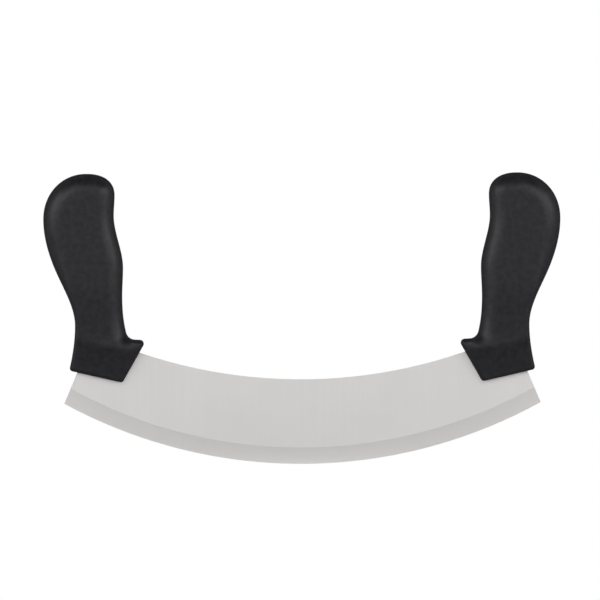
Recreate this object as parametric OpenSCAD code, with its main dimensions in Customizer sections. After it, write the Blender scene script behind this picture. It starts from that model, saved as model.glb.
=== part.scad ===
// Two-handled mezzaluna: a curved chopping blade with a moulded grip at each end.
// X runs along the blade, Z is up, and the blade lies in the plane Y = 0.
// The origin is the lowest point of the cutting edge.
// Heights and reaches on a handle and its tang are measured from the handle's own origin, which lies
// just inside the corner where the spine meets the end cut.

/* [Blade] */
// Straight distance from tip to tip
blade_len = 261.3; // [235:0.1:285]
// Height from the cutting edge to the spine, in the middle
blade_h = 46.4; // [42:0.2:54]
// Thickness of the steel sheet
blade_t = 2; // [1.6:0.1:2.6]
// Radius of the cutting edge
edge_r = 272; // [255:1:300]
// Radius of the spine
spine_r = 274; // [255:1:300]
// Angle of the end cuts from the vertical
end_angle = 22.7; // [18:0.1:27]
// Width of the ground band along the cutting edge
grind_w = 8.9; // [5:0.1:14]
// Thickness left at the cutting edge
edge_t = 0.25; // [0.15:0.05:0.5]
// Chamfer on the spine and on the end cuts
sheet_break = 0.35; // [0.2:0.05:0.6]

/* [Tang] */
// Width of each tang
tang_w = 13; // [9:0.5:15]
// Length of each tang above the origin of the handle
tang_len = 58; // [53:1:64]
// Lean of each tang from the vertical
tang_lean = 11.6; // [9:0.1:14]
// Distance from the origin of the handle in to the tang's axis
tang_in = 3.9; // [2:0.1:5]
// Diameter of the anchor holes in a tang
anchor_d = 5; // [3:0.1:6]
// Number of anchor holes in a tang
anchor_count = 3; // [1:1:3]
// Distance from the origin of the handle to the first anchor hole
anchor_first = 14; // [11:0.5:17]
// Distance between anchor holes
anchor_pitch = 15; // [11:0.5:16]
// Gap all round between the steel and the moulding
mould_gap = 0.05; // [0.03:0.01:0.1]

/* [Foot of the handle] */
// Distance from the corner of the blade in to the origin of the handle
seat_in = 0.77; // [0:0.01:2]
// Depth of the origin of the handle under the corner of the blade
seat_drop = 0.35; // [0:0.01:1]
// Depth of the foot's lower corner
foot_drop = 26.3; // [23:0.1:30]
// Distance in to the foot's lower corner
foot_in = 15.3; // [12:0.1:18]
// Distance out to the foot's outer corner
foot_out = 14; // [12:0.1:17]
// Slope of the foot's lower edge
foot_slope = 12.8; // [9:0.1:16]
// Lean of the foot's outer side at its corner
foot_lean = 13.5; // [8:0.1:20]
// Thickness of the foot at its lower edge
foot_t = 12.6; // [10:0.1:16]
// Depth of the hollow in the foot's broad faces
foot_hollow = 0.5; // [0:0.05:0.8]
// Radius of the foot's corners and of its lower edges
foot_r = 1.8; // [1:0.1:2.5]
// Distance in to the point of the hook
hook_in = 28.5; // [25:0.1:31]
// Depth of the point of the hook
hook_drop = 3; // [1:0.1:5]
// Slope of the top of the hook
hook_slope = 3; // [2:0.1:6]
// Radius of the point of the hook
hook_r = 2.2; // [1.4:0.1:3]
// Radius of the fillet between the hook and the grip
fillet_r = 5; // [4:0.1:6.5]
// Depth of the ridge across the top of the foot
ridge_drop = 5.4; // [4:0.1:8]
// Slope of the ridge, which rises towards the palm side
ridge_slope = 16; // [10:0.5:20]
// Radius of the ridge's curve, seen from the front
ridge_r = 100; // [70:1:200]
// Thickness of the handle on the ridge, before the ridge is rounded
ridge_t = 21.5; // [19:0.1:23]
// Width over which the foot's sides are rounded
foot_round = 1.6; // [1.2:0.1:3]

/* [Grip of the handle] */
// Height of the top of the crown
grip_h = 88.3; // [82:0.1:96]
// Distance out to the top of the crown
crown_out = 4.3; // [1:0.1:8]
// Height of the fullest point of the palm side
palm_z = 63.4; // [58:0.1:67]
// Distance out to the fullest point of the palm side
palm_out = 27.9; // [24:0.1:31]
// Height of the middle of the palm side
side_z = 31.6; // [27:0.1:36]
// Distance out to the middle of the palm side
side_out = 19.7; // [17:0.1:22]
// Lean of the palm side at its middle
side_lean = 25; // [18:0.5:30]
// Height of the waist
waist_z = 5; // [2:0.1:9]
// Distance out to the waist
waist_out = 10.7; // [9:0.1:13]
// Depth of the nape, where the handle is thinnest
nape_drop = 2.7; // [1:0.1:5]
// Slope of the nape, which falls towards the palm side
nape_slope = 12; // [6:0.5:20]
// Thickness of the handle at the nape
nape_t = 21.2; // [18:0.1:24]
// Growth of the thickness from the nape down to the hook
hook_swell = 1; // [0:0.1:2]
// Height over which it grows
swell_h = 11.5; // [8:0.5:16]
// Distance in to the neck, where the fillet ends
neck_in = 17.4; // [15:0.1:19]
// Lean of the finger side at the neck
neck_lean = 14; // [10:0.1:18]
// Height of the hollow for the first finger
hollow_z = 21; // [16:0.1:26]
// Distance in to the hollow for the first finger
hollow_in = 15.3; // [13:0.1:18]
// Height of the belly between the two hollows
belly_z = 36.8; // [32:0.1:42]
// Distance in to the belly
belly_in = 15.8; // [13:0.1:18]
// Height of the hollow for the last finger
rest_z = 65.3; // [58:0.1:70]
// Distance in to the hollow for the last finger
rest_in = 10.8; // [8:0.1:13]
// Height of the brow under the crown
brow_z = 76.3; // [73:0.1:79]
// Distance in to the brow
brow_in = 11.3; // [9:0.1:14]
// Thickness of the grip across its flats
grip_t = 25; // [21:0.1:29]
// Height at which the flats start
flat_z = 28; // [24:0.1:36]
// Width over which the grip's sides are rounded
grip_round = 11; // [8:0.1:12]
// Height at which the finger side's rounding starts to widen from the foot's to the grip's
finger_wide_z = -3.8; // [-6:0.1:-2]
// Height over which the finger side's rounding widens
finger_wide_h = 4.8; // [3:0.1:8]
// Height at which the palm side's rounding starts to widen
palm_wide_z = 16; // [8:0.5:24]
// Height over which the palm side's rounding widens
palm_wide_h = 35; // [20:0.5:45]

/* [Hidden] */

// Exponents of the rounded sides and of both sides of the crown: 2 gives an ellipse, more is squarer
side_power = 2.4;
crown_power_out = 2.05;
crown_power_in = 2.3;
// Rounding of the ridge: difference in thickness over which one face runs into the other
ridge_soft = 1.6;
// Steps along each stretch of the handle's side, and across half a ring
corner_steps = 5;
slant_steps = 8;
point_steps = 7;
fillet_steps = 6;
grip_steps = 15;
crown_steps = 11;
ring_steps = 18;
// Sides of a full circle on the long arcs and on the small holes
arc_sides = 360;
hole_sides = 48;
// Overshoot of cutting shapes, and the flat left at the very top of the crown
over = 3;
crown_cut = 0.02;
// Length of tang that runs down into the blade
tang_root = 14;

// The tip of the blade, and the corner where its end cut meets the spine
spine_mid = [0, blade_h + spine_r];
tip = [blade_len / 2, edge_r - sqrt(pow(edge_r, 2) - pow(blade_len / 2, 2))];
end_dir = [-sin(end_angle), cos(end_angle)];
end_out = [cos(end_angle), sin(end_angle)];
tip_along = (spine_mid - tip) * end_dir;
tip_across = (spine_mid - tip) * end_out;
end_len = tip_along - sqrt(pow(spine_r, 2) - pow(tip_across, 2));
corner = tip + end_len * end_dir;
// The origin of the right handle
seat = corner - [seat_in, seat_drop];

// Smooth step from 0 to 1
function ease(t) = let (u = max(0, min(1, t))) u * u * (3 - 2 * u);
// Quarter curve that starts steep at 0 and is level from 1 on
function quarter(q, power) = pow(1 - pow(1 - max(0, min(1, q)), power), 1 / power);
// Cubic between two points of a side, each [height, reach, lean]
function side_curve(a, b, z) =
    let (h = b[0] - a[0], t = (z - a[0]) / h, s = 1 - t)
    a[1] * s * s * (1 + 2 * t) + b[1] * t * t * (1 + 2 * s) + h * t * s * (s * tan(a[2]) - t * tan(b[2]));
// Points of an arc, and the middle of a rounded corner whose two sides leave it along u and v
function arc(mid, r, from, to, steps) =
    [for (i = [0:steps]) let (a = from + (to - from) * i / steps) mid + r * [cos(a), sin(a)]];
function corner_mid(p, u, v, r) = p + (u + v) / norm(u + v) * 2 * r / norm(u - v);
function heading(u) = atan2(u[1], u[0]);

// Straight stretches of the handle's outline, in points of [reach, height]
foot_inner = [-foot_in, -foot_drop];
foot_outer = [foot_out, -foot_drop + (foot_in + foot_out) * tan(foot_slope)];
hook_point = [-hook_in, -hook_drop];
foot_dir = [cos(foot_slope), sin(foot_slope)];
hook_dir = [cos(hook_slope), sin(hook_slope)];
slant_dir = (hook_point - foot_inner) / norm(hook_point - foot_inner);
outer_dir = [-sin(foot_lean), cos(foot_lean)];
// Middles of the corner radii, and of the fillet that stands on the top of the hook
inner_mid = corner_mid(foot_inner, foot_dir, slant_dir, foot_r);
outer_mid = corner_mid(foot_outer, -foot_dir, outer_dir, foot_r);
hook_mid = corner_mid(hook_point, -slant_dir, hook_dir, hook_r);
fillet_x = -neck_in - fillet_r * cos(neck_lean);
fillet_mid = [fillet_x, -hook_drop + (fillet_x + hook_in) * tan(hook_slope) + fillet_r / cos(hook_slope)];
neck = fillet_mid + fillet_r * [cos(neck_lean), -sin(neck_lean)];

// Reach of the palm side at a height, from the foot to the crown
function palm_side(z) =
    z < waist_z ? side_curve([foot_outer[1], foot_out, -foot_lean], [waist_z, waist_out, 0], z)
    : z < side_z ? side_curve([waist_z, waist_out, 0], [side_z, side_out, side_lean], z)
    : z < palm_z ? side_curve([side_z, side_out, side_lean], [palm_z, palm_out, 0], z)
    : crown_out + (palm_out - crown_out) * quarter((grip_h - z) / (grip_h - palm_z), crown_power_out);
// Reach of the finger side at a height, from the neck to the crown
function finger_side(z) =
    z < hollow_z ? side_curve([neck[1], neck[0], neck_lean], [hollow_z, -hollow_in, 0], z)
    : z < belly_z ? side_curve([hollow_z, -hollow_in, 0], [belly_z, -belly_in, 0], z)
    : z < rest_z ? side_curve([belly_z, -belly_in, 0], [rest_z, -rest_in, 0], z)
    : z < brow_z ? side_curve([rest_z, -rest_in, 0], [brow_z, -brow_in, 0], z)
    : crown_out - (crown_out + brow_in) * quarter((grip_h - z) / (grip_h - brow_z), crown_power_in);

// The inner side of the outline, from the foot up round the hook to the crown
inner_corner = arc(inner_mid, foot_r, foot_slope - 90, heading(slant_dir) - 270, corner_steps);
hook_arc = arc(hook_mid, hook_r, heading(slant_dir) + 90, hook_slope + 90, point_steps);
slant = [for (i = [1:slant_steps - 1])
    inner_corner[corner_steps] + (hook_arc[0] - inner_corner[corner_steps]) * i / slant_steps];
fillet = arc(fillet_mid, fillet_r, hook_slope - 90, -neck_lean, fillet_steps);
hook_top = [(hook_arc[point_steps] + fillet[0]) / 2];
heights = concat(
    [for (i = [1:grip_steps]) neck[1] + (palm_z - neck[1]) * i / grip_steps],
    [for (i = [1:crown_steps]) palm_z + (grip_h - crown_cut - palm_z) * sin(90 * i / crown_steps)]);
grip_side = [for (z = heights) [finger_side(z), z]];
inner_side = concat(inner_corner, slant, hook_arc, hook_top, fillet, grip_side);
rings = len(inner_side);

// The outer side: each point is level with its partner on the grip, and higher on the sloping foot
outer_corner = arc(outer_mid, foot_r, foot_slope - 90, heading(outer_dir) - 90, corner_steps);
level_z = fillet_mid[1] - fillet_r;
foot_rise = foot_outer[1] - foot_inner[1];
function partner(p) =
    let (up = min(1, (p[1] - foot_inner[1]) / (level_z - foot_inner[1])),
         z = p[1] + foot_rise * (1 - pow(up, 3)))
    [palm_side(z), z];
outer_side = [for (i = [0:rings - 1]) i <= corner_steps ? outer_corner[i] : partner(inner_side[i])];

// Least distance from p to a side, as a share of the width over which that side is rounded
function side_share(p, side, wide_z, wide_h) =
    min([for (i = [1:rings - 1])
        let (a = side[i - 1],
             run = side[i] - a,
             q = a + run * max(0, min(1, (p - a) * run / (run * run))),
             width = foot_round + (grip_round - foot_round) * ease((q[1] - wide_z) / wide_h))
        norm(p - q) / width]);
// How far p has come in from the outline, as a share of the rounded width there
function edge_share(p) =
    min((grip_h - p[1]) / grip_round,
        side_share(p, inner_side, finger_wide_z, finger_wide_h),
        side_share(p, outer_side, palm_wide_z, palm_wide_h));

// The lower of two values, with the corner between them rounded
function soft_min(a, b, width) =
    let (mix = max(0, min(1, 0.5 + (b - a) / (2 * width)))) b + (a - b) * mix - width * mix * (1 - mix);
// Thickness away from the sides: it tapers down the foot, is least at the nape and level on the flats
function thickness(p) =
    let (foot = (p[0] + foot_in) * tan(foot_slope) - foot_drop,
         ridge = p[0] * tan(ridge_slope) + pow(p[0], 2) / (2 * ridge_r) - ridge_drop,
         nape = -nape_drop - p[0] * tan(nape_slope),
         up = (p[1] - foot) / (ridge - foot),
         below = foot_t + (ridge_t - foot_t) * up - 8 * foot_hollow * up * (1 - up),
         grip = nape_t + (grip_t - nape_t) * ease((p[1] - nape) / (flat_z - nape)),
         above = grip + hook_swell * ease((nape - p[1]) / swell_h))
    soft_min(below, above, ridge_soft);

// Ring i of the handle: along the front from the inner to the outer side, and back along the rear
function ring(i) =
    let (inset = i < corner_steps ? foot_r * (1 - sin(90 * i / corner_steps)) : 0,
         front = [for (j = [0:ring_steps])
             let (across = (1 - cos(180 * j / ring_steps)) / 2,
                  p = inner_side[i] + (outer_side[i] - inner_side[i]) * across,
                  part = quarter(edge_share(p), side_power))
             [p[0], -part * (thickness(p) / 2 - inset), p[1]]])
    concat(front, [for (j = [ring_steps - 1:-1:1]) [front[j][0], -front[j][1], front[j][2]]]);

// Outer form of the right handle: a skin over its rings, closed under the foot and at the crown
module moulding() {
    sides = 2 * ring_steps;
    points = [for (i = [0:rings - 1]) each ring(i)];
    skin = [for (i = [0:rings - 2], j = [0:sides - 1])
        let (a = i * sides + j, b = i * sides + (j + 1) % sides)
        each j < ring_steps ? [[a, b + sides, b], [a, a + sides, b + sides]]
        : [[a, a + sides, b], [b, a + sides, b + sides]]];
    base = [for (j = [0:sides - 1]) j];
    crown = [for (j = [sides - 1:-1:0]) (rings - 1) * sides + j];
    translate([seat[0], 0, seat[1]]) polyhedron(points, concat(skin, [base], [crown]));
}

// Stands a flat shape up in the plane Y = 0, with the thickness t
module upright(t) {
    rotate([90, 0, 0]) linear_extrude(t, center = true) children();
}

// Outline of the sheet above its cutting edge, grown all round by grow
module sheet(grow = 0) {
    low = tip - over * end_dir + grow * end_out;
    high = corner + over * end_dir + grow * end_out;
    difference() {
        polygon([[-low[0], -over], [low[0], -over], low, high, [-high[0], high[1]], [-low[0], low[1]]]);
        translate(spine_mid) circle(spine_r - grow, $fn = arc_sides);
    }
}

// Places a shape on the right tang, with Y along the tang from the level of the handle's origin
module on_tang() {
    translate([seat[0] - tang_in, seat[1]]) rotate(-tang_lean) children();
}

module tang(grow = 0) {
    on_tang() {
        translate([-tang_w / 2 - grow, -tang_root])
            square([tang_w + 2 * grow, tang_root + tang_len - tang_w / 2]);
        translate([0, tang_len - tang_w / 2]) circle(tang_w / 2 + grow, $fn = hole_sides);
    }
}

module anchors(d) {
    on_tang() for (i = [0:anchor_count - 1])
        translate([0, anchor_first + i * anchor_pitch]) circle(d = d, $fn = hole_sides);
}

// Disc of sheet, ground from both sides to a thin rim: its lowest point is the origin
module ground_disc() {
    half = blade_t / 2;
    inner_r = edge_r - grind_w;
    translate([0, 0, edge_r]) rotate([90, 0, 0]) rotate_extrude($fn = arc_sides)
        polygon([[0, -half], [inner_r, -half], [edge_r, -edge_t / 2],
            [edge_r, edge_t / 2], [inner_r, half], [0, half]]);
}

// Cutter for one chamfer: a triangle whose corner lies sheet_break inside the edge at the origin
module break_profile() {
    polygon([[-sheet_break, over], [over, -sheet_break], [over, over]]);
}

// Chamfers along the spine between the handles
module spine_breaks() {
    span = seat[0] - foot_in;
    intersection() {
        translate([0, 0, spine_mid[1]]) rotate([90, 0, 0]) for (side = [0, 1]) mirror([0, 0, side])
            rotate_extrude($fn = arc_sides) translate([spine_r, blade_t / 2]) mirror([1, 0]) break_profile();
        translate([-span, -blade_t, 0]) cube([2 * span, 2 * blade_t, spine_mid[1]]);
    }
}

// Chamfers along the right end cut, from below the tip to inside the handle
module end_breaks() {
    length = end_len - tang_root + over;
    translate([tip[0], 0, tip[1]]) rotate([0, -end_angle, 0]) translate([0, 0, -over])
        for (side = [0, 1]) mirror([0, side, 0])
            translate([0, blade_t / 2, 0]) linear_extrude(length) break_profile();
}

// One sheet: ground along the edge, with a tang at each end inside the handles
module blade() {
    color("#cfcecc") difference() {
        intersection() {
            ground_disc();
            upright(2 * blade_t) {
                sheet();
                for (side = [0, 1]) mirror([side, 0]) difference() {
                    tang();
                    anchors(anchor_d);
                }
            }
        }
        spine_breaks();
        for (side = [0, 1]) mirror([side, 0, 0]) end_breaks();
    }
}

// The handle is moulded round the steel, and its plugs fill the anchor holes
module right_handle() {
    color("#2f2f31") difference() {
        moulding();
        upright(blade_t + 2 * mould_gap) {
            sheet(mould_gap);
            difference() {
                tang(mould_gap);
                anchors(anchor_d - 2 * mould_gap);
            }
        }
    }
}

module left_handle() {
    mirror([1, 0, 0]) right_handle();
}

blade();
left_handle();
right_handle();
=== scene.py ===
"""Two-handled mezzaluna: the looks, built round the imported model, in metres and in the model's own frame.

X runs along the blade, Z is up, and the photograph looks along +Y at the flat of the blade.
"""

import math

import bpy
import numpy as np
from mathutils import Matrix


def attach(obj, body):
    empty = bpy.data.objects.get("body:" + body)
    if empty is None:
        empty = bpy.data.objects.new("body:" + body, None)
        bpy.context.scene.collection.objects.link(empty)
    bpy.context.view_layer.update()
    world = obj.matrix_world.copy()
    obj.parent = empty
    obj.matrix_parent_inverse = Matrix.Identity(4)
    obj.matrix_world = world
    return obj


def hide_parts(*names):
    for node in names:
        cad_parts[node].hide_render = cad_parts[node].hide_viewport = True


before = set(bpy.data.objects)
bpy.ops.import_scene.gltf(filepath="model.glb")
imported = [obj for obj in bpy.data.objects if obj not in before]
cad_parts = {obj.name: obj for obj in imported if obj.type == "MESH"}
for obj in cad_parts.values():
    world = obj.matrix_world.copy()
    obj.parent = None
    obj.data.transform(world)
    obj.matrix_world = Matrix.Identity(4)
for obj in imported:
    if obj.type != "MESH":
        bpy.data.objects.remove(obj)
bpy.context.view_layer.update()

# ---------------------------------------------------------------- view of the photograph
METRES_PER_PIXEL = 0.0005485
IMAGE_PIXELS = 600
ORIGIN_PIXEL = (301.6, 463.4)
CAMERA_DISTANCE = 1.5
CAMERA_ROLL = math.radians(0.21)

# ---------------------------------------------------------------- sizes, in millimetres and degrees
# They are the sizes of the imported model. Heights and reaches on a handle are from the handle's own origin.
MM = 0.001
# Blade: length from tip to tip, height, radii of the edge and the spine, lean of the end cuts, ground band
BLADE_LEN = 261.3
BLADE_H = 46.4
EDGE_R = 272.0
SPINE_R = 274.0
END_ANGLE = 22.7
GRIND_W = 8.9

# Foot: its corners and thickness, the place of the handle's origin, the hook, its fillet and the ridge
FOOT_DROP = 26.3
FOOT_IN = 15.3
FOOT_OUT = 14.0
FOOT_SLOPE = 12.8
FOOT_LEAN = 13.5
SEAT_IN = 0.77
SEAT_DROP = 0.35
FOOT_T = 12.6
FOOT_HOLLOW = 0.5
FOOT_R = 1.8
HOOK_IN = 28.5
HOOK_DROP = 3.0
HOOK_SLOPE = 3.0
HOOK_R = 2.2
FILLET_R = 5.0
RIDGE_DROP = 5.4
RIDGE_SLOPE = 16.0
RIDGE_R = 100.0
RIDGE_T = 21.5
RIDGE_SOFT = 1.6
FOOT_ROUND = 1.6

# Grip: crown, palm side, waist, nape and swell, finger side, thickness and the width of the rounding
GRIP_H = 88.3
CROWN_OUT = 4.3
CROWN_CUT = 0.02
PALM_Z = 63.4
PALM_OUT = 27.9
SIDE_Z = 31.6
SIDE_OUT = 19.7
SIDE_LEAN = 25.0
WAIST_Z = 5.0
WAIST_OUT = 10.7
NAPE_DROP = 2.7
NAPE_SLOPE = 12.0
NAPE_T = 21.2
SWELL = 1.0
SWELL_H = 11.5
NECK_IN = 17.4
NECK_LEAN = 14.0
HOLLOW_Z = 21.0
HOLLOW_IN = 15.3
BELLY_Z = 36.8
BELLY_IN = 15.8
REST_Z = 65.3
REST_IN = 10.8
BROW_Z = 76.3
BROW_IN = 11.3
GRIP_T = 25.0
FLAT_Z = 28.0
GRIP_ROUND = 11.0
SIDE_POWER = 2.4
CROWN_POWER_OUT = 2.05
CROWN_POWER_IN = 2.3
FINGER_WIDE_Z = -3.8
FINGER_WIDE_H = 4.8
PALM_WIDE_Z = 16.0
PALM_WIDE_H = 35.0

# ---------------------------------------------------------------- steps of the handle's mesh
# Along each stretch of the handle's side, and across half a ring
CORNER_STEPS = 10
SLANT_STEPS = 30
POINT_STEPS = 14
HOOK_TOP_STEPS = 4
FILLET_STEPS = 14
GRIP_STEPS = 84
CROWN_STEPS = 40
RING_STEPS = 56


# ---------------------------------------------------------------- the handle's form
def direction(degrees):
    """Unit vector at an angle from +X."""
    return np.array([math.cos(math.radians(degrees)), math.sin(math.radians(degrees))])


def heading(vector):
    """Angle of a vector from +X, in degrees."""
    return math.degrees(math.atan2(vector[1], vector[0]))


def ease(t):
    """Smooth step from 0 to 1."""
    u = np.clip(t, 0.0, 1.0)
    return u * u * (3.0 - 2.0 * u)


def quarter(q, power):
    """Quarter curve that starts steep at 0 and is level from 1 on."""
    return (1.0 - (1.0 - np.clip(q, 0.0, 1.0)) ** power) ** (1.0 / power)


def soft_min(a, b, width):
    """The lower of two values, with the corner between them rounded over a width."""
    mix = np.clip(0.5 + 0.5 * (b - a) / width, 0.0, 1.0)
    return b + (a - b) * mix - width * mix * (1.0 - mix)


def side_curve(a, b, z):
    """Cubic between two points of a side, each (height, reach, lean)."""
    h = b[0] - a[0]
    t = (z - a[0]) / h
    s = 1.0 - t
    lean = s * math.tan(math.radians(a[2])) - t * math.tan(math.radians(b[2]))
    return a[1] * s * s * (1 + 2 * t) + b[1] * t * t * (1 + 2 * s) + h * t * s * lean


def arc(mid, radius, start, end, steps):
    """Points of an arc, from one angle to another."""
    return [mid + radius * direction(start + (end - start) * i / steps) for i in range(steps + 1)]


def corner_mid(point, u, v, radius):
    """Middle of a rounded corner whose two sides leave it along u and v."""
    return point + (u + v) / np.linalg.norm(u + v) * 2 * radius / np.linalg.norm(u - v)


def blade_corner():
    """Where the right end cut meets the spine."""
    spine_mid = np.array([0.0, BLADE_H + SPINE_R])
    tip = np.array([BLADE_LEN / 2, EDGE_R - math.sqrt(EDGE_R**2 - (BLADE_LEN / 2) ** 2)])
    end_dir = direction(90 + END_ANGLE)
    end_out = direction(END_ANGLE)
    along = np.dot(spine_mid - tip, end_dir)
    across = np.dot(spine_mid - tip, end_out)
    return tip + (along - math.sqrt(SPINE_R**2 - across**2)) * end_dir


FOOT_INNER = np.array([-FOOT_IN, -FOOT_DROP])
FOOT_RISE = (FOOT_IN + FOOT_OUT) * math.tan(math.radians(FOOT_SLOPE))
FOOT_OUTER = np.array([FOOT_OUT, -FOOT_DROP + FOOT_RISE])
HOOK_POINT = np.array([-HOOK_IN, -HOOK_DROP])
FOOT_DIR = direction(FOOT_SLOPE)
HOOK_DIR = direction(HOOK_SLOPE)
SLANT_DIR = (HOOK_POINT - FOOT_INNER) / np.linalg.norm(HOOK_POINT - FOOT_INNER)
OUTER_DIR = direction(90 + FOOT_LEAN)
INNER_MID = corner_mid(FOOT_INNER, FOOT_DIR, SLANT_DIR, FOOT_R)
OUTER_MID = corner_mid(FOOT_OUTER, -FOOT_DIR, OUTER_DIR, FOOT_R)
HOOK_MID = corner_mid(HOOK_POINT, -SLANT_DIR, HOOK_DIR, HOOK_R)
FILLET_X = -NECK_IN - FILLET_R * math.cos(math.radians(NECK_LEAN))
HOOK_RISE = (FILLET_X + HOOK_IN) * math.tan(math.radians(HOOK_SLOPE))
FILLET_LIFT = FILLET_R / math.cos(math.radians(HOOK_SLOPE))
FILLET_MID = np.array([FILLET_X, -HOOK_DROP + HOOK_RISE + FILLET_LIFT])
NECK = FILLET_MID + FILLET_R * direction(-NECK_LEAN)
LEVEL_Z = FILLET_MID[1] - FILLET_R


def palm_side(z):
    """Reach of the palm side at a height, from the foot to the crown."""
    foot = (FOOT_OUTER[1], FOOT_OUT, -FOOT_LEAN)
    waist = (WAIST_Z, WAIST_OUT, 0.0)
    side = (SIDE_Z, SIDE_OUT, SIDE_LEAN)
    palm = (PALM_Z, PALM_OUT, 0.0)
    if z < WAIST_Z:
        return side_curve(foot, waist, z)
    if z < SIDE_Z:
        return side_curve(waist, side, z)
    if z < PALM_Z:
        return side_curve(side, palm, z)
    down = (GRIP_H - z) / (GRIP_H - PALM_Z)
    return CROWN_OUT + (PALM_OUT - CROWN_OUT) * quarter(down, CROWN_POWER_OUT)


def finger_side(z):
    """Reach of the finger side at a height, from the neck to the crown."""
    neck = (NECK[1], NECK[0], NECK_LEAN)
    hollow = (HOLLOW_Z, -HOLLOW_IN, 0.0)
    belly = (BELLY_Z, -BELLY_IN, 0.0)
    rest = (REST_Z, -REST_IN, 0.0)
    brow = (BROW_Z, -BROW_IN, 0.0)
    if z < HOLLOW_Z:
        return side_curve(neck, hollow, z)
    if z < BELLY_Z:
        return side_curve(hollow, belly, z)
    if z < REST_Z:
        return side_curve(belly, rest, z)
    if z < BROW_Z:
        return side_curve(rest, brow, z)
    down = (GRIP_H - z) / (GRIP_H - BROW_Z)
    return CROWN_OUT - (CROWN_OUT + BROW_IN) * quarter(down, CROWN_POWER_IN)


def between(a, b, steps):
    """Points between two points, without the points themselves."""
    return [a + (b - a) * i / steps for i in range(1, steps)]


def handle_outline():
    """Both sides of the handle's outline, from the foot up to the crown, point by point."""
    inner_corner = arc(INNER_MID, FOOT_R, FOOT_SLOPE - 90, heading(SLANT_DIR) - 270, CORNER_STEPS)
    hook = arc(HOOK_MID, HOOK_R, heading(SLANT_DIR) + 90, HOOK_SLOPE + 90, POINT_STEPS)
    fillet = arc(FILLET_MID, FILLET_R, HOOK_SLOPE - 90, -NECK_LEAN, FILLET_STEPS)
    heights = [NECK[1] + (PALM_Z - NECK[1]) * i / GRIP_STEPS for i in range(1, GRIP_STEPS + 1)]
    crown = GRIP_H - CROWN_CUT - PALM_Z
    turns = [math.pi / 2 * i / CROWN_STEPS for i in range(1, CROWN_STEPS + 1)]
    heights += [PALM_Z + crown * math.sin(turn) for turn in turns]
    inner = inner_corner + between(inner_corner[-1], hook[0], SLANT_STEPS) + hook
    inner += between(hook[-1], fillet[0], HOOK_TOP_STEPS) + fillet
    inner += [np.array([finger_side(z), z]) for z in heights]
    outer = arc(OUTER_MID, FOOT_R, FOOT_SLOPE - 90, heading(OUTER_DIR) - 90, CORNER_STEPS)
    for point in inner[len(outer):]:
        up = min(1.0, (point[1] - FOOT_INNER[1]) / (LEVEL_Z - FOOT_INNER[1]))
        z = point[1] + FOOT_RISE * (1.0 - up**3)
        outer.append(np.array([palm_side(z), z]))
    return np.array(inner), np.array(outer)


def side_share(points, side, wide_z, wide_h):
    """Least distance to a side of the outline, as a share of the width over which that side is rounded."""
    start = side[:-1]
    run = side[1:] - start
    offset = points[:, None, :] - start[None, :, :]
    along = np.clip((offset * run).sum(2) / (run * run).sum(1), 0.0, 1.0)
    gap = np.linalg.norm(offset - along[:, :, None] * run, axis=2)
    height = start[:, 1] + along * run[:, 1]
    width = FOOT_ROUND + (GRIP_ROUND - FOOT_ROUND) * ease((height - wide_z) / wide_h)
    return (gap / width).min(1)


def edge_share(points, inner, outer):
    """How far points have come in from the outline, as a share of the rounded width there."""
    top = (GRIP_H - points[:, 1]) / GRIP_ROUND
    finger = side_share(points, inner, FINGER_WIDE_Z, FINGER_WIDE_H)
    palm = side_share(points, outer, PALM_WIDE_Z, PALM_WIDE_H)
    return np.minimum(top, np.minimum(finger, palm))


def thickness(points):
    """Thickness away from the sides: tapered on the foot, least at the nape and level on the flats."""
    x, z = points[:, 0], points[:, 1]
    foot = (x + FOOT_IN) * math.tan(math.radians(FOOT_SLOPE)) - FOOT_DROP
    ridge = x * math.tan(math.radians(RIDGE_SLOPE)) + x**2 / (2 * RIDGE_R) - RIDGE_DROP
    nape = -NAPE_DROP - x * math.tan(math.radians(NAPE_SLOPE))
    up = (z - foot) / (ridge - foot)
    below = FOOT_T + (RIDGE_T - FOOT_T) * up - 8 * FOOT_HOLLOW * up * (1 - up)
    grip = NAPE_T + (GRIP_T - NAPE_T) * ease((z - nape) / (FLAT_Z - nape))
    above = grip + SWELL * ease((nape - z) / SWELL_H)
    return soft_min(below, above, RIDGE_SOFT)


def handle_rings():
    """Rings of the right handle: each runs along the front and back along the rear."""
    inner, outer = handle_outline()
    across = (1.0 - np.cos(np.pi * np.arange(RING_STEPS + 1) / RING_STEPS)) / 2.0
    rings = []
    for i, (a, b) in enumerate(zip(inner, outer)):
        turn = math.pi / 2 * min(i, CORNER_STEPS) / CORNER_STEPS
        inset = FOOT_R * (1.0 - math.sin(turn))
        points = a + (b - a) * across[:, None]
        share = edge_share(points, inner, outer)
        half = quarter(share, SIDE_POWER) * (thickness(points) / 2 - inset)
        half[0] = 0.0
        half[-1] = 0.0
        front = np.column_stack([points[:, 0], -half, points[:, 1]])
        rear = np.column_stack([points[:, 0], half, points[:, 1]])[-2:0:-1]
        rings.append(np.vstack([front, rear]))
    return np.array(rings)


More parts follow.
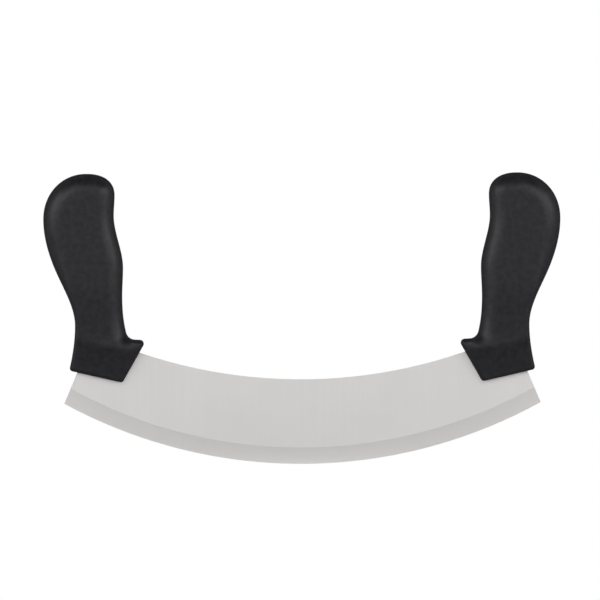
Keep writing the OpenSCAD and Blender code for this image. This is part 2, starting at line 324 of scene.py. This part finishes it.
def make_handle(name, node, side, material):
    """One moulded handle: side is 1 for the right one and -1 for the left one."""
    rings = handle_rings()
    count, around = rings.shape[:2]
    seat = blade_corner() - np.array([SEAT_IN, SEAT_DROP])
    points = rings.reshape(-1, 3) + np.array([seat[0], 0.0, seat[1]])
    points[:, 0] *= side
    faces = []
    for i in range(count - 1):
        for j in range(around):
            a = i * around + j
            b = i * around + (j + 1) % around
            faces.append((a, b, b + around, a + around))
    faces.append(tuple(reversed(range(around))))
    faces.append(tuple((count - 1) * around + j for j in range(around)))
    if side < 0:
        faces = [tuple(reversed(face)) for face in faces]
    mesh = bpy.data.meshes.new(name)
    mesh.from_pydata((points * MM).tolist(), [], faces)
    mesh.shade_smooth()
    mesh.materials.append(material)
    handle = bpy.data.objects.new(name, mesh)
    bpy.context.scene.collection.objects.link(handle)
    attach(handle, "root")
    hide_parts(node)


# ---------------------------------------------------------------- materials
# Colours of the sheet and of its ground band; the band runs from deep to pale towards the cutting edge as a
# painted reflection of the floor
STEEL_PALE = (0.709, 0.696, 0.684, 1.0)
STEEL_DEEP = (0.624, 0.614, 0.604, 1.0)
GROUND_PALE = (0.820, 0.799, 0.785, 1.0)
GROUND_DEEP = (0.725, 0.704, 0.690, 1.0)
# Noise of the brushed lines, of the ground lines (by angle and radius) and of the soft clouds
BRUSH_SCALE = (900.0, 1.0, 9.0)
BRUSH_DETAIL = 5.0
GRIND_SCALE = (2400.0, 60.0, 1.0)
GRIND_DETAIL = 3.0
CLOUD_SCALE = 30.0
CLOUD_DETAIL = 3.0
# Share of the lines in the sheet's tone, and of that tone in the ground band's; the rest of the band's
# colour is a painted reflection of the floor that lightens it towards the cutting edge
LINE_SHARE = 0.4
TONE_SHARE = 0.4
# Width over which the sheet turns into the ground band, in millimetres
BAND_SOFT = 0.15
STEEL_ROUGH = (0.29, 0.38)
STEEL_RELIEF = 0.000004

# Colours of the plastic, and the noise of its mottle and of its grain
PLASTIC_DEEP = (0.0064, 0.0064, 0.0081, 1.0)
PLASTIC_PALE = (0.0136, 0.0136, 0.0163, 1.0)
MOTTLE_SCALE = 330.0
MOTTLE_DETAIL = 3.0
MOTTLE_FROM = 0.33
MOTTLE_FULL = 0.67
GRAIN_SCALE = 2600.0
GRAIN_DETAIL = 3.0
GRAIN_RELIEF = 0.00003
# Gloss and roughness of the plastic, and the roughness that it gains where it leans away from the eye
PLASTIC_GLOSS = 0.236
PLASTIC_ROUGH = (0.38, 0.50)
LEAN_ROUGH = 0.5
LEAN_FROM = 0.25
LEAN_FULL = 0.65
# Strength of the fine relief of both materials
RELIEF_STRENGTH = 0.5

# Colours of the floor, its speckle, and its own glow towards the camera and in reflections
FLOOR_PALE = (0.43, 0.43, 0.43, 1.0)
FLOOR_DEEP = (0.41, 0.41, 0.41, 1.0)
FLOOR_ROUGH = 0.9
SPECKLE_SCALE = 60.0
SPECKLE_DETAIL = 2.0
FLOOR_SEEN = 0.50
FLOOR_MIRRORED = 0.25
WHITE = (1.0, 1.0, 1.0, 1.0)


def new_material(name):
    """A node material, with its tree and its shader."""
    material = bpy.data.materials.new(name)
    material.use_nodes = True
    return material, material.node_tree, material.node_tree.nodes["Principled BSDF"]


def noise(tree, vector, scale, detail):
    """A noise texture over a vector, from 0 to 1."""
    texture = tree.nodes.new("ShaderNodeTexNoise")
    texture.inputs["Scale"].default_value = scale
    texture.inputs["Detail"].default_value = detail
    tree.links.new(vector, texture.inputs["Vector"])
    return texture.outputs["Fac"]


def place(tree):
    """Position on the object, in metres."""
    return tree.nodes.new("ShaderNodeTexCoord").outputs["Object"]


def stretched(tree, vector, scale):
    """A vector with each axis scaled."""
    mapping = tree.nodes.new("ShaderNodeMapping")
    mapping.inputs["Scale"].default_value = scale
    tree.links.new(vector, mapping.inputs["Vector"])
    return mapping.outputs["Vector"]


def parts(tree, vector):
    """The three parts of a vector."""
    split = tree.nodes.new("ShaderNodeSeparateXYZ")
    tree.links.new(vector, split.inputs["Vector"])
    return split.outputs["X"], split.outputs["Y"], split.outputs["Z"]


def spread(tree, value, low, high, start=0.0, end=1.0):
    """A value from start to end, spread from low to high."""
    node = tree.nodes.new("ShaderNodeMapRange")
    node.inputs["From Min"].default_value = start
    node.inputs["From Max"].default_value = end
    node.inputs["To Min"].default_value = low
    node.inputs["To Max"].default_value = high
    tree.links.new(value, node.inputs["Value"])
    return node.outputs["Result"]


def maths(tree, operation, a, b=0.0):
    """One sum on one or two values, each a socket or a number."""
    node = tree.nodes.new("ShaderNodeMath")
    node.operation = operation
    for slot, value in zip(node.inputs, (a, b)):
        if isinstance(value, (int, float)):
            slot.default_value = value
        else:
            tree.links.new(value, slot)
    return node.outputs["Value"]


def blend(tree, share, a, b):
    """The value a to a fixed share, and b for the rest."""
    return maths(tree, "ADD", maths(tree, "MULTIPLY", a, share), maths(tree, "MULTIPLY", b, 1.0 - share))


def colour_mix(tree, share, a, b):
    """A colour between a and b, each a socket or a colour."""
    node = tree.nodes.new("ShaderNodeMix")
    node.data_type = "RGBA"
    tree.links.new(share, node.inputs[0])
    for slot, value in ((node.inputs[6], a), (node.inputs[7], b)):
        if isinstance(value, tuple):
            slot.default_value = value
        else:
            tree.links.new(value, slot)
    return node.outputs[2]


def relief(tree, shader, height, distance):
    """Fine relief from a height between 0 and 1."""
    node = tree.nodes.new("ShaderNodeBump")
    node.inputs["Distance"].default_value = distance
    node.inputs["Strength"].default_value = RELIEF_STRENGTH
    tree.links.new(height, node.inputs["Height"])
    tree.links.new(node.outputs["Normal"], shader.inputs["Normal"])


def reflected(tree, path):
    """1 for rays that a shiny or a clear surface sends on, and 0 for the others."""
    return maths(tree, "MAXIMUM", path.outputs["Is Glossy Ray"], path.outputs["Is Transmission Ray"])


def satin_steel():
    """Sheet brushed from the spine to the edge, and a ground band with lines across the edge, lightened
    towards the cutting edge by a painted reflection of the floor.
    """
    material, tree, shader = new_material("satin_steel")
    shader.inputs["Metallic"].default_value = 1.0
    where = place(tree)
    x, _, z = parts(tree, where)
    # Angle and radius round the middle of the cutting edge's arc
    below = maths(tree, "SUBTRACT", EDGE_R * MM, z)
    turn = maths(tree, "ARCTAN2", x, below)
    squares = maths(tree, "ADD", maths(tree, "MULTIPLY", x, x), maths(tree, "MULTIPLY", below, below))
    radius = maths(tree, "SQRT", squares)
    # The ground band, and how far along it towards the cutting edge, which sets the band's painted
    # reflection of the floor
    band_top = EDGE_R - GRIND_W
    band = spread(tree, radius, 0.0, 1.0, band_top * MM, (band_top + BAND_SOFT) * MM)
    rise = spread(tree, radius, 0.0, 1.0, band_top * MM, EDGE_R * MM)
    polar = tree.nodes.new("ShaderNodeCombineXYZ")
    tree.links.new(turn, polar.inputs["X"])
    tree.links.new(radius, polar.inputs["Y"])
    brush = noise(tree, stretched(tree, where, BRUSH_SCALE), 1.0, BRUSH_DETAIL)
    grind = noise(tree, stretched(tree, polar.outputs["Vector"], GRIND_SCALE), 1.0, GRIND_DETAIL)
    cloud = noise(tree, where, CLOUD_SCALE, CLOUD_DETAIL)
    mixed = tree.nodes.new("ShaderNodeMix")
    tree.links.new(band, mixed.inputs["Factor"])
    tree.links.new(brush, mixed.inputs["A"])
    tree.links.new(grind, mixed.inputs["B"])
    lines = mixed.outputs["Result"]
    tone = blend(tree, LINE_SHARE, lines, cloud)
    sheet = colour_mix(tree, tone, STEEL_DEEP, STEEL_PALE)
    # The ground band's colour: its own tone, plus a painted reflection of the floor that lightens it towards
    # the cutting edge
    ground_and_painted_reflection = colour_mix(tree, blend(tree, TONE_SHARE, tone, rise), GROUND_DEEP, GROUND_PALE)
    tree.links.new(colour_mix(tree, band, sheet, ground_and_painted_reflection), shader.inputs["Base Color"])
    tree.links.new(spread(tree, lines, *STEEL_ROUGH), shader.inputs["Roughness"])
    relief(tree, shader, lines, STEEL_RELIEF)
    return material


def black_moulding():
    """Black plastic with the fine grain of a spark-eroded mould and a faint mottle."""
    material, tree, shader = new_material("black_moulding")
    shader.inputs["Specular IOR Level"].default_value = PLASTIC_GLOSS
    where = place(tree)
    grain = noise(tree, where, GRAIN_SCALE, GRAIN_DETAIL)
    mottle = noise(tree, where, MOTTLE_SCALE, MOTTLE_DETAIL)
    patch = spread(tree, mottle, 0.0, 1.0, MOTTLE_FROM, MOTTLE_FULL)
    tree.links.new(colour_mix(tree, patch, PLASTIC_DEEP, PLASTIC_PALE), shader.inputs["Base Color"])
    lean = tree.nodes.new("ShaderNodeLayerWeight").outputs["Facing"]
    matt = spread(tree, lean, 0.0, LEAN_ROUGH, LEAN_FROM, LEAN_FULL)
    rough = maths(tree, "ADD", spread(tree, grain, *PLASTIC_ROUGH), matt)
    tree.links.new(rough, shader.inputs["Roughness"])
    relief(tree, shader, grain, GRAIN_RELIEF)
    return material


def pale_floor():
    """Pale floor with a faint speckle, which keeps the part's shadow."""
    material, tree, shader = new_material("pale_floor")
    speckle = noise(tree, place(tree), SPECKLE_SCALE, SPECKLE_DETAIL)
    tree.links.new(colour_mix(tree, speckle, FLOOR_DEEP, FLOOR_PALE), shader.inputs["Base Color"])
    shader.inputs["Roughness"].default_value = FLOOR_ROUGH
    shader.inputs["Emission Color"].default_value = WHITE
    path = tree.nodes.new("ShaderNodeLightPath")
    mirrored = maths(tree, "MULTIPLY", reflected(tree, path), FLOOR_MIRRORED)
    seen = maths(tree, "MULTIPLY", path.outputs["Is Camera Ray"], FLOOR_SEEN)
    tree.links.new(maths(tree, "ADD", mirrored, seen), shader.inputs["Emission Strength"])
    return material


def dress(node, material):
    """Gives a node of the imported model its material."""
    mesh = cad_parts[node].data
    mesh.materials.clear()
    mesh.materials.append(material)


# ---------------------------------------------------------------- camera, lamps, world and floor
# Lamps: name, turn from the camera's side, height angle, width, height, watts
LAMPS = (
    ("key", 25.0, 25.0, 0.6, 0.6, 4.7),
    ("front", 42.0, 18.0, 0.7, 0.9, 3.1),
    ("side", 65.0, 20.0, 0.7, 0.9, 7.6),
)
LAMP_DISTANCE = 1.5
AIM = (0.0, 0.0, 0.09)
# Plain light of the world, light of its ceiling, and the rises between which the ceiling starts
WORLD_LIGHT = 0.1
CEILING_LIGHT = 0.06
CEILING_FROM = 0.28
CEILING_FULL = 0.42
FLOOR_HALF = 2.0


def make_camera():
    """The photograph's own view, square to the blade and without perspective."""
    camera = bpy.data.cameras.new("photo_camera")
    camera.type = "ORTHO"
    camera.ortho_scale = METRES_PER_PIXEL * IMAGE_PIXELS
    middle = (IMAGE_PIXELS - 1) / 2
    x = (middle - ORIGIN_PIXEL[0]) * METRES_PER_PIXEL
    z = (ORIGIN_PIXEL[1] - middle) * METRES_PER_PIXEL
    holder = bpy.data.objects.new("photo_camera", camera)
    holder.location = (x, -CAMERA_DISTANCE, z)
    holder.rotation_euler = (math.pi / 2, CAMERA_ROLL, 0.0)
    bpy.context.scene.collection.objects.link(holder)
    bpy.context.scene.camera = holder


def soft_box(name, place_at, size, watts):
    """A soft rectangular lamp that faces the part."""
    lamp = bpy.data.lights.new(name, "AREA")
    lamp.shape = "RECTANGLE"
    lamp.size, lamp.size_y = size
    lamp.energy = watts
    holder = bpy.data.objects.new(name, lamp)
    holder.location = place_at
    way = np.array(AIM) - np.array(place_at)
    yaw = math.atan2(-way[0], way[1])
    pitch = math.atan2(way[2], math.hypot(way[0], way[1]))
    holder.rotation_euler = (math.pi / 2 + pitch, 0.0, yaw)
    bpy.context.scene.collection.objects.link(holder)


def make_lamps():
    """Soft boxes in pairs, left and right of the camera and a little above it."""
    for name, turn, rise, width, height, watts in LAMPS:
        reach = LAMP_DISTANCE * math.cos(math.radians(rise))
        for side, word in ((-1, "left"), (1, "right")):
            x = side * reach * math.sin(math.radians(turn))
            y = -reach * math.cos(math.radians(turn))
            z = AIM[2] + LAMP_DISTANCE * math.sin(math.radians(rise))
            soft_box(f"{word}_{name}_box", (x, y, z), (width, height), watts)


def make_world():
    """White to the camera, white under a dark ceiling in reflections, and a soft light on the rest."""
    world = bpy.data.worlds.new("studio")
    world.use_nodes = True
    bpy.context.scene.world = world
    tree = world.node_tree
    back = tree.nodes["Background"]
    back.inputs["Color"].default_value = WHITE
    path = tree.nodes.new("ShaderNodeLightPath")
    aim = tree.nodes.new("ShaderNodeTexCoord")
    height = parts(tree, aim.outputs["Generated"])[2]
    fade = spread(tree, height, 1.0, CEILING_LIGHT, CEILING_FROM, CEILING_FULL)
    light = maths(tree, "MULTIPLY", spread(tree, reflected(tree, path), WORLD_LIGHT, 1.0), fade)
    seen = maths(tree, "MAXIMUM", light, path.outputs["Is Camera Ray"])
    tree.links.new(seen, back.inputs["Strength"])


def make_floor():
    """The floor, which the cutting edge touches."""
    half = FLOOR_HALF
    mesh = bpy.data.meshes.new("floor")
    corners = [(-half, -half, 0.0), (half, -half, 0.0), (half, half, 0.0), (-half, half, 0.0)]
    mesh.from_pydata(corners, [], [(0, 1, 2, 3)])
    mesh.materials.append(pale_floor())
    floor = bpy.data.objects.new("floor", mesh)
    bpy.context.scene.collection.objects.link(floor)


# ---------------------------------------------------------------- the scene
make_camera()
dress("blade", satin_steel())
moulding = black_moulding()
make_handle("left_grip", "left_handle", -1, moulding)
make_handle("right_grip", "right_handle", 1, moulding)

make_lamps()
make_world()
make_floor()
bpy.context.scene.view_settings.view_transform = "Standard"
